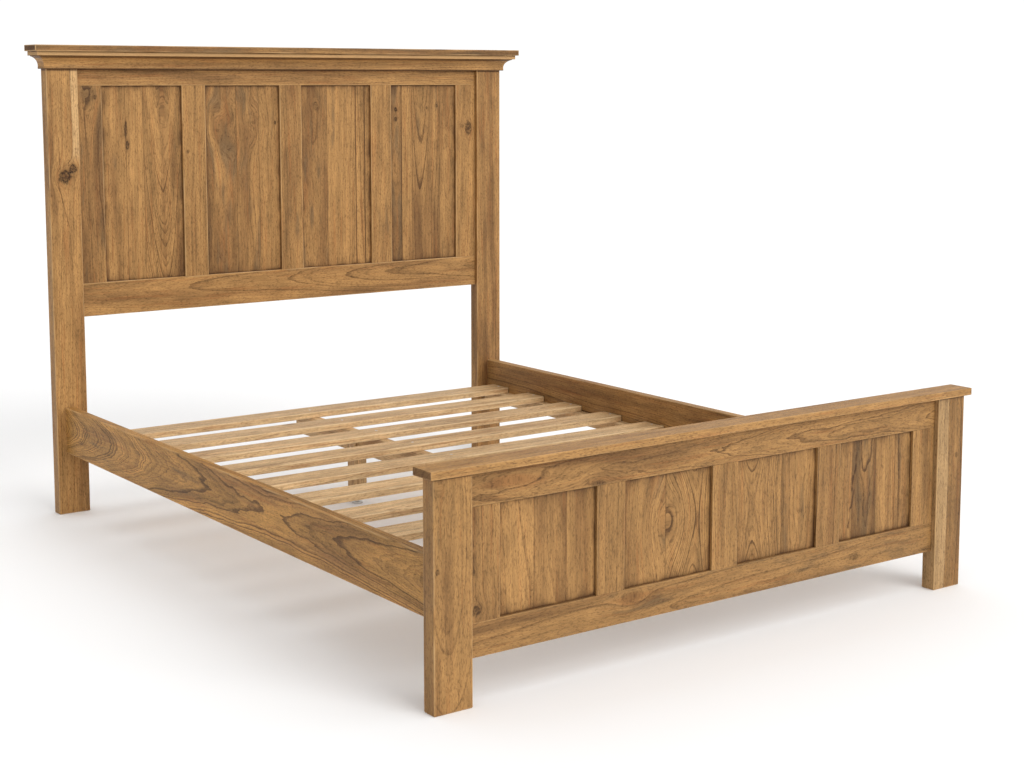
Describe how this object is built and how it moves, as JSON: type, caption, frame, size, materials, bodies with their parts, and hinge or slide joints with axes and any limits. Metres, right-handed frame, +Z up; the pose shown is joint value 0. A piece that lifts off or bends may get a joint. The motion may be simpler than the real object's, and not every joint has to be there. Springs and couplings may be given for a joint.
{
  "type": "panel bed frame",
  "caption": "Wooden panel bed frame for a queen mattress: crowned headboard and capped footboard with recessed panels, hook-on side rails and a slat deck on a centre beam.",
  "frame": {"origin": "on the floor, at the middle of the bed's bounding box in plan", "axes": "+X to the right seen from the foot, +Y from the foot to the head, +Z up"},
  "size_m": [1.746, 2.144, 1.424],
  "materials": {
    "stained_hardwood": "satin honey-brown stain on character-grade hardwood",
    "bare_hardwood": "planed and lightly sealed",
    "zinc_steel": "zinc plated"
  },
  "bodies": {
    "end_boards": {"footboard_bottom_rail": "stained_hardwood", "footboard_cap": "stained_hardwood", "footboard_end_stile_left": "stained_hardwood", "footboard_end_stile_right": "stained_hardwood", "footboard_mullion_1": "stained_hardwood", "footboard_mullion_2": "stained_hardwood", "footboard_mullion_3": "stained_hardwood", "footboard_panel_1": "stained_hardwood", "footboard_panel_2": "stained_hardwood", "footboard_panel_3": "stained_hardwood", "footboard_panel_4": "stained_hardwood", "footboard_post_left": "stained_hardwood", "footboard_post_right": "stained_hardwood", "footboard_top_rail": "stained_hardwood", "headboard_bottom_rail": "stained_hardwood", "headboard_cap": "stained_hardwood", "headboard_crown_backing": "stained_hardwood", "headboard_crown_front": "stained_hardwood", "headboard_crown_return_left": "stained_hardwood", "headboard_crown_return_right": "stained_hardwood", "headboard_end_stile_left": "stained_hardwood", "headboard_end_stile_right": "stained_hardwood", "headboard_mullion_1": "stained_hardwood", "headboard_mullion_2": "stained_hardwood", "headboard_mullion_3": "stained_hardwood", "headboard_panel_1": "stained_hardwood", "headboard_panel_2": "stained_hardwood", "headboard_panel_3": "stained_hardwood", "headboard_panel_4": "stained_hardwood", "headboard_post_left": "stained_hardwood", "headboard_post_right": "stained_hardwood", "headboard_top_rail": "stained_hardwood", "post_slot_plate_screws": "zinc_steel", "post_slot_plates": "zinc_steel"},
    "rails_and_deck": {"centre_beam": "bare_hardwood", "centre_leg_1": "bare_hardwood", "centre_leg_2": "bare_hardwood", "centre_leg_3": "bare_hardwood", "cleat_left": "bare_hardwood", "cleat_right": "bare_hardwood", "deck_screws": "zinc_steel", "leg_tee_nuts": "zinc_steel", "rail_hook_plate_screws": "zinc_steel", "rail_hook_plates": "zinc_steel", "side_rail_left": "stained_hardwood", "side_rail_right": "stained_hardwood", "slat_01": "bare_hardwood", "slat_02": "bare_hardwood", "slat_03": "bare_hardwood", "slat_04": "bare_hardwood", "slat_05": "bare_hardwood", "slat_06": "bare_hardwood", "slat_07": "bare_hardwood", "slat_08": "bare_hardwood", "slat_09": "bare_hardwood", "slat_10": "bare_hardwood"},
    "glide_1": {"levelling_glide_1": "zinc_steel"},
    "glide_2": {"levelling_glide_2": "zinc_steel"},
    "glide_3": {"levelling_glide_3": "zinc_steel"}
  },
  "joints": [
    {"name": "rail_unhook", "type": "slide", "parent": "end_boards", "child": "rails_and_deck", "axis": [0, 0, 1], "range_m": [0, 0.014]},
    {"name": "glide_1_thread", "type": "slide", "parent": "rails_and_deck", "child": "glide_1", "axis": [0, 0, 1], "range_m": [-0.01, 0.012]},
    {"name": "glide_2_thread", "type": "slide", "parent": "rails_and_deck", "child": "glide_2", "axis": [0, 0, 1], "range_m": [-0.01, 0.012]},
    {"name": "glide_3_thread", "type": "slide", "parent": "rails_and_deck", "child": "glide_3", "axis": [0, 0, 1], "range_m": [-0.01, 0.012]}
  ]
}
